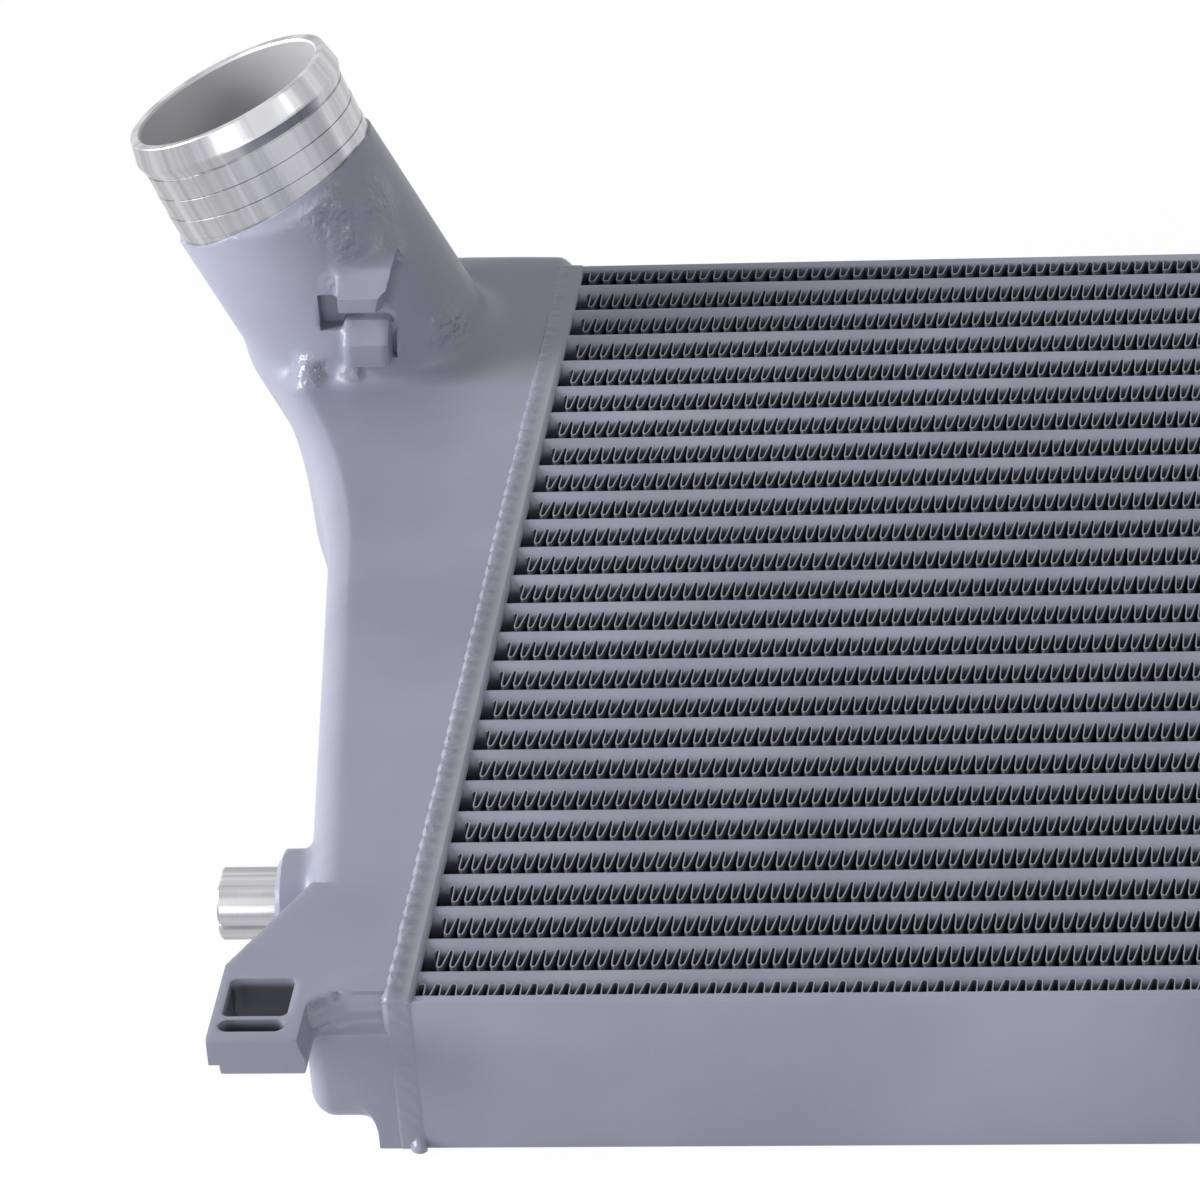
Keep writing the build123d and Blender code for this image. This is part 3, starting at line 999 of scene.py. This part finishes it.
ROUGH_SPOTS = [
    ((-398, 134, 48), 9),
    ((-385, 133, 48), 5),
    ((-361, 149, 53), 13),
    ((-389.5, 137, 76.6), 5),
    ((-385, 141.5, 86), 8),
    ((-374.5, 149, 81), 9),
    ((-388.5, 142, 96), 13),
    ((-377, 154, 94), 12),
]
HOLLOW_X = (JOINT - 45.35, JOINT - 27.95)
HOLLOW_LOW = (-216.0, 20.0)
HOLLOW_HIGH = (-190.8, core_depth - 0.4)
LEFT_HOLLOW_SHADE = (HOLLOW_X[0], *HOLLOW_LOW), (HOLLOW_X[1], *HOLLOW_HIGH)
RIGHT_HOLLOW_SHADE = (-HOLLOW_X[1], *HOLLOW_LOW), (-HOLLOW_X[0], *HOLLOW_HIGH)
# both tanks' paint darkens inside the lug's pocket and slot as painted shade
tank_paint_and_shade_left = painted("tank_paint_and_shade_left", roughness=0.36, cast_spots=ROUGH_SPOTS, hollow=LEFT_HOLLOW_SHADE)
tank_paint_and_shade_right = painted("tank_paint_and_shade_right", roughness=0.36, hollow=RIGHT_HOLLOW_SHADE)
CELL = 1.35
LUG_WEB = -209.55


def tank(side):
    """One tank as a piece, on the left or on the right."""
    left = side == "left"
    # a row of the grid falls on the thin web between the lug's pocket and its slot
    low = (-132.0, LUG_WEB - round(20.0 / CELL) * CELL, -1.0)
    high = (6.0, TOP + 4, core_depth + 66)
    vertices, quads = skin(lambda x, y, z: tank_distance(x, y, z, left), low, high, CELL)
    vertices[:, 0] += JOINT
    if not left:
        vertices[:, 0] *= -1
        quads = quads[:, ::-1]
    paint = tank_paint_and_shade_left if left else tank_paint_and_shade_right
    return as_piece(f"{side}_end_tank_cast", vertices.tolist(), quads.tolist(), paint)


for side in ("left", "right"):
    settle(tank(side), "painted_casting", side + "_end_tank", angle=38.0)

# %% [markdown]
# ## The turned hose band
#
# The last 31 mm of the spigot is turned: a rim, a bead that stops the hose, and three lands with a fine
# groove between them. A half section turned round the axis gives it, and the bore belongs to it too.

# %% Lathe work


def frame_of(foot, axis):
    """A matrix that puts Z along the axis at the foot, in millimetres."""
    turn = Vector(axis).to_track_quat("Z", "Y").to_matrix().to_4x4()
    return Matrix.Translation(foot) @ turn


def lathe(section, foot, axis, count=160):
    """Vertices and faces of a closed half section turned round an axis. The section is (along, radius)."""
    where = frame_of(foot, axis)
    vertices, faces = [], []
    for i in range(count):
        angle = 2 * math.pi * i / count
        for along, radius in section:
            spot = Vector((radius * math.cos(angle), radius * math.sin(angle), along))
            vertices.append(tuple(where @ spot))
    size = len(section)
    for i in range(count):
        j = (i + 1) % count
        for k in range(size):
            m = (k + 1) % size
            faces.append([i * size + k, i * size + m, j * size + m, j * size + k])
    return vertices, faces


# each corner of the half section: how far below the rim, and its radius
BORE_AND_LIP = [(60, BORE), (0.8, BORE), (0.1, BORE + 0.5), (0, BORE + 0.8), (0, 31.7), (0.3, 32.0)]
BEAD = [(6.3, 33.28), (6.8, 33.39), (7.2, 33.39), (7.7, 33.25), (10.3, 32.3), (10.6, 31.95), (10.8, 31.95)]
LANDS = [(10.9, 32.4), (17.6, 32.1), (17.7, 31.9), (17.8, 32.4), (24.6, 32.1), (24.7, 31.9), (24.8, 32.4)]
ROOT = [(30.9, 32.1), (31.1, 31.9), (33.0, 31.9), (60, BORE + 0.8)]
HOSE_BAND = [(SPIGOT_LENGTH - below, radius) for below, radius in BORE_AND_LIP + BEAD + LANDS + ROOT]


def hose_band(side):
    """The bare band of the left or the right spigot."""
    sign = 1 if side == "right" else -1
    foot = (sign * (half_length - SPIGOT_FOOT[0]), SPIGOT_FOOT[1], SPIGOT_FOOT[2])
    axis = (sign * -SPIGOT_AXIS[0], SPIGOT_AXIS[1], SPIGOT_AXIS[2])
    metal = turned(f"hose_band_metal_{side}", foot, axis, bore=BORE)
    return as_piece(f"{side}_hose_band", *lathe(HOSE_BAND, foot, axis), metal)


for side in ("left", "right"):
    settle(hose_band(side), "machined_aluminium", angle=14.0)

# %% [markdown]
# ## The stub pegs
#
# Each peg is turned to 19.5 mm, then milled flat along its front, with a groove along its lower side. Its
# outline, a circle with those two cuts, is drawn once and extruded outwards, with an eased outer edge.

# %% Pegs

PEG_RADIUS = 9.75
PEG_FLAT = 7.9
PEG_LENGTH = 16.0
GROOVE_TURN = 96.0
GROOVE_HALF = 8.0
GROOVE_DEPTH = 1.1


def peg_radius_at(angle):
    """Radius of the peg's outline. The angle is counted from the front, +Z, towards -Y."""
    turn = (angle + 180) % 360 - 180
    radius = PEG_RADIUS
    if abs(turn) < 90:
        radius = min(radius, PEG_FLAT / math.cos(math.radians(turn)))
    from_groove = abs(turn - GROOVE_TURN)
    if from_groove < GROOVE_HALF:
        radius -= GROOVE_DEPTH * min(1.0, (GROOVE_HALF - from_groove) / 2.0)
    return radius


def peg(side):
    """The left or the right peg, from inside its boss to its eased end."""
    sign = 1 if side == "right" else -1
    start = half_length - BOSS_END - 1.0
    rings = [(start, 0.0), (start + PEG_LENGTH + 0.4, 0.0), (start + PEG_LENGTH + 1.0, 0.6)]
    angles = np.arange(0, 360, 2.0)
    vertices, faces = [], []
    for x, ease in rings:
        for angle in angles:
            radius = peg_radius_at(angle) - ease
            turn = math.radians(angle)
            vertices.append((sign * x, PEG_Y - radius * math.sin(turn), PEG_Z + radius * math.cos(turn)))
    n = len(angles)
    for ring in range(len(rings) - 1):
        for i in range(n):
            j = (i + 1) % n
            faces.append([ring * n + i, ring * n + j, (ring + 1) * n + j, (ring + 1) * n + i])
    faces.append(list(range(n))[::-1])
    faces.append([(len(rings) - 1) * n + i for i in range(n)])
    if sign < 0:
        faces = [f[::-1] for f in faces]
    metal = turned(f"peg_metal_{side}", (sign * start, PEG_Y, PEG_Z), (1, 0, 0))
    return as_piece(f"{side}_peg_turned", vertices, faces, metal)


for side in ("left", "right"):
    settle(peg(side), "machined_aluminium", side + "_peg", angle=20.0)

# %% [markdown]
# ## The weld beads
#
# A welder lays each bead in one pass, and a scale is left every few millimetres where the pool froze. On
# this part the scales show on the tank's half of the bead, while the half on the core is a smooth lip. The
# bead climbs the foot, runs up the front and comes down over the top, where it thins out beside the crown
# that laps over the side plate. It starts as a flat grid. One side of the grid is the way along the joint,
# the other is the way across, so a formula in those two numbers places every point: first on the joint,
# then lifted off it. The same grid, sunk a little and turned over, closes the bead from below.

# %% Weld


def along_joint(bead, run, lift, across):
    """A point on the joint: how far along it, how far off the surface, and how far across."""
    depth, height = bead.size("Depth"), bead.size("Height")
    corner = bead.size("Corner")
    up = (run - depth).math("MAXIMUM", 0.0).math("MINIMUM", height)
    down = (run - depth - height).math("MAXIMUM", 0.0)
    level = run.math("MINIMUM", depth) - down
    front = run.ramp(depth - corner, depth + corner)
    over = run.ramp(depth + height - corner, depth + height + corner)
    y = up - height * 0.5 + lift * (front + over - 1)
    z = level + lift * front * (1 - over)
    return bead.point(bead.size("Joint") + across, y, z)


BLOB_LONG = 3.2
BLOB_WIDE = 0.62
BLOB_SIDE = 0.55
BLOB_HIGH = 2.6


def weld_bead():
    """The bead of the left joint as a tree."""
    bead = Grower(
        "weld_bead",
        Steps=1500,
        Across=17,
        Joint=(-half_length - 0.2) * MM,
        Height=2 * half_height * MM,
        Depth=core_depth * MM,
        Width=8.2 * MM,
        Rise=1.5 * MM,
        Scale=6.6 * MM,
        Ripple=0.4 * MM,
        Corner=0.8 * MM,
        Sunk=0.7 * MM,
    )
    total = bead.size("Height") + bead.size("Depth") * 2
    counts = {"Vertices X": bead.size("Steps"), "Vertices Y": bead.size("Across")}
    grid = bead.add("GeometryNodeMeshGrid", inputs={"Size X": total, "Size Y": 2.0, **counts})
    place_in_grid = bead.add("GeometryNodeInputPosition")
    run = part_of(bead.tree, place_in_grid, 0) + total * 0.5
    side = part_of(bead.tree, place_in_grid, 1)
    depth, height = bead.size("Depth"), bead.size("Height")
    foot = 1 - run.ramp(depth - 1 * MM, depth + 2 * MM)
    fading = run.ramp(depth + height * 0.6, depth + height)

    # three noises along the joint: the hand's wander, the uneven scales and the crust
    way = bead.point(run)
    hand = bead.add("ShaderNodeTexNoise", inputs={"Vector": way, "Scale": 55.0, "Detail": 1.0})
    pulse = bead.add("ShaderNodeTexNoise", inputs={"Vector": way, "Scale": 140.0, "Detail": 2.0})
    crust_at = bead.point(run, side * (4 * MM))
    crust = bead.add("ShaderNodeTexNoise", inputs={"Vector": crust_at, "Scale": 700.0, "Detail": 3.0})

    # scales: soft crescents, wide apart on the front and closer on the foot
    bend = (side + 0.45) * (side + 0.45) * 0.5
    phase = run / bead.size("Scale") * (1 + foot * 0.35) + bend + (pulse - 0.5) * 1.3
    crescent = (phase * (2 * math.pi)).math("COSINE") * -0.5 + 0.5
    tank_half = 1 - side.ramp(-0.4, 0.2)
    middle_half = (1 - side.ramp(0.3, 0.95)) * side.ramp(-0.7, -0.1)
    scaled = tank_half * (1 - foot) + middle_half * foot
    ripple = crescent * scaled * bead.size("Ripple") * (1 - fading * 0.8) * (1 - foot * 0.5) * (0.5 + pulse)

    edge = side.ramp(-1.0, -0.62) * (1 - side.ramp(0.8, 1.0))
    hump = 1 - side.ramp(-0.6, 0.5) * 0.4
    uneven = 0.75 + hand * 0.5
    rise = bead.size("Rise") * (1 - foot * 0.88) * (1 - fading * 0.65)
    rough = (crust - 0.5) * 0.5 * MM * (1 - side.ramp(-0.1, 0.3)) * (1 - foot)
    body = edge * (hump * uneven * rise + ripple + rough)
    # the blob where the pass began, low on the foot
    away = (run / (BLOB_LONG * MM)).math("POWER", 2.0)
    away = away + ((side - BLOB_SIDE) / BLOB_WIDE).math("POWER", 2.0)
    blob = (1 - away).math("MAXIMUM", 0.0).math("SQRT") * BLOB_HIGH * MM
    lift = body.math("MAXIMUM", blob) - bead.size("Sunk") * (1 - edge)

    half = bead.size("Width") * 0.5
    reach = side * half - ripple * (1 - side.ramp(-0.9, -0.1)) * 1.2 + (hand - 0.5) * 0.9 * MM * tank_half
    place_above = along_joint(bead, run, lift, reach)
    lid = bead.add("GeometryNodeSetPosition", inputs={"Geometry": grid, "Position": place_above})
    # the underside meets the lid only along its rim
    inner = edge.math("GREATER_THAN", 0.001) * run.math("GREATER_THAN", 0.1 * MM)
    inner = inner * (total - run).math("GREATER_THAN", 0.1 * MM)
    below = lift * (1 - inner) - bead.size("Sunk") * inner
    place_below = along_joint(bead, run, below, reach)
    base = bead.add("GeometryNodeSetPosition", inputs={"Geometry": grid, "Position": place_below})
    base = bead.add("GeometryNodeFlipFaces", inputs={"Mesh": base})
    both = bead.tree.nodes.new("GeometryNodeJoinGeometry")
    for part in (base, lid):
        bead.tree.links.new(part.socket, both.inputs[0])
    whole = {"Geometry": Value(bead.tree, both.outputs[0]), "Distance": 0.01 * MM}
    return bead.close(bead.add("GeometryNodeMergeByDistance", inputs=whole), weld_paint)


weld_paint = painted("weld_paint", roughness=0.30)
left_bead = weld_bead().grow("left_weld_bead", weld_paint)
points = np.empty(len(left_bead.data.vertices) * 3)
left_bead.data.vertices.foreach_get("co", points)
points = points.reshape(-1, 3) / MM
points[:, 2] = np.clip(points[:, 2], 0.0, None)
faces = [list(face.vertices) for face in left_bead.data.polygons]
bpy.data.objects.remove(left_bead)
mirrored = points * (-1, 1, 1)
bead_pair = joined([(points.tolist(), faces), (mirrored.tolist(), [face[::-1] for face in faces])])
settle(as_piece("weld_beads_laid", *bead_pair, weld_paint), "painted_core", "weld_beads", angle=50.0)
print("beads span", points.min(0).round(1), points.max(0).round(1))

# %% [markdown]
# ## The studio
#
# The photograph is a product shot on pure white, with hardly any shadow. Its main light is a large soft box
# low on the left, which leaves the faces towards the camera half dark. A weak one low in front lifts them,
# and a small one on the right sets glints on the rough metal. The floor and the world are white to the
# camera and to reflections, and the object's own light stays at a plain level.

# %% Floor, world and lights


WORLD_LIGHT = 0.3
FLOOR_GLOW = 0.97
FLOOR_PALE = tint(238, 238, 240)
WHITE = (1, 1, 1, 1)


def straight_ray(tree):
    """1 for rays that come from the camera, a reflection or a clear material, else 0."""
    camera_ray, glossy_ray, clear_ray = (add(tree, "ShaderNodeLightPath", output=i) for i in (0, 3, 6))
    return camera_ray.math("MAXIMUM", glossy_ray).math("MAXIMUM", clear_ray)


def studio_floor():
    """A pale floor that glows white to the camera and still takes a shadow."""
    material, tree, _ = blank("studio_floor")
    seen = straight_ray(tree)
    diffuse = add(tree, "ShaderNodeBsdfDiffuse", inputs={"Color": FLOOR_PALE})
    white = add(tree, "ShaderNodeEmission", inputs={"Color": WHITE, "Strength": 1.0})
    both = add(tree, "ShaderNodeMixShader", inputs={0: seen * FLOOR_GLOW, 1: diffuse, 2: white})
    out = tree.nodes.new("ShaderNodeOutputMaterial")
    tree.links.new(both.socket, out.inputs["Surface"])
    bpy.ops.mesh.primitive_plane_add(size=30, location=(0, 0, -0.0005))
    floor = bpy.context.object
    floor.name = "studio_floor"
    floor.data.materials.append(material)


def studio_world():
    """White to the camera and to reflections, and a weaker even light on the object."""
    world = bpy.data.worlds.new("studio")
    bpy.context.scene.world = world
    world.use_nodes = True
    tree = world.node_tree
    tree.nodes.clear()
    strength = WORLD_LIGHT + straight_ray(tree) * (1 - WORLD_LIGHT)
    light = add(tree, "ShaderNodeBackground", inputs={"Color": WHITE, "Strength": strength})
    out = tree.nodes.new("ShaderNodeOutputWorld")
    tree.links.new(light.socket, out.inputs["Surface"])


def soft_box(name, place_at, look_at, size, power):
    """A rectangular lamp. Places and sizes are in metres, the power is in watts."""
    light = bpy.data.lights.new(name, "AREA")
    light.shape = "RECTANGLE"
    light.size, light.size_y = size
    light.energy = power
    lamp = bpy.data.objects.new(name, light)
    bpy.context.scene.collection.objects.link(lamp)
    lamp.location = place_at
    lamp.rotation_euler = (Vector(look_at) - Vector(place_at)).to_track_quat("-Z", "Y").to_euler()


studio_floor()
studio_world()
soft_box("key", (-2.35, -0.32, 0.82), (-0.3, 0, 0.05), (1.0, 1.0), 62)
soft_box("front", (-0.5, -2.3, 0.4), (-0.2, 0, 0), (1.2, 0.6), 8.5)
soft_box("glint", (1.05, -0.51, 1.26), (-0.35, 0.15, 0.06), (0.25, 0.25), 3)

# %% [markdown]
# ## The camera
#
# A camera was fitted to the photograph from the rows of tubes, the rim of the spigot and the lug: a long
# lens, a little over two metres away on the lugs' side, about thirty degrees up. Its axes and its focal
# length in pixels are measures of that fit, and the lens is worked out from the photograph's width.

# %% Camera

CAMERA_AT = (-5.5, -1897.05, 1141.5)
CAMERA_RIGHT = (0.99113, 0.10711, -0.07867)
CAMERA_DOWN = (-0.01445, -0.50161, -0.86497)
CAMERA_FORWARD = (-0.13211, 0.85843, -0.49562)
FOCAL_PIXELS = 7946.6
IMAGE_PIXELS = 1200
SENSOR = 36.0

lens = bpy.data.cameras.new("camera")
lens.sensor_fit = "HORIZONTAL"
lens.sensor_width = SENSOR
lens.lens = FOCAL_PIXELS / IMAGE_PIXELS * SENSOR
lens.clip_start, lens.clip_end = 0.05, 100
camera = bpy.data.objects.new("camera", lens)
bpy.context.scene.collection.objects.link(camera)
back = Vector(CAMERA_FORWARD) * -1
up = Vector(CAMERA_DOWN) * -1
turn = Matrix((CAMERA_RIGHT, up, back)).transposed().to_4x4()
camera.matrix_world = Matrix.Translation(Vector(CAMERA_AT) * MM) @ turn
bpy.context.scene.camera = camera
print("lens", round(lens.lens, 1), "mm")

# %% Settings

view = bpy.context.scene.view_settings
view.view_transform = "Standard"
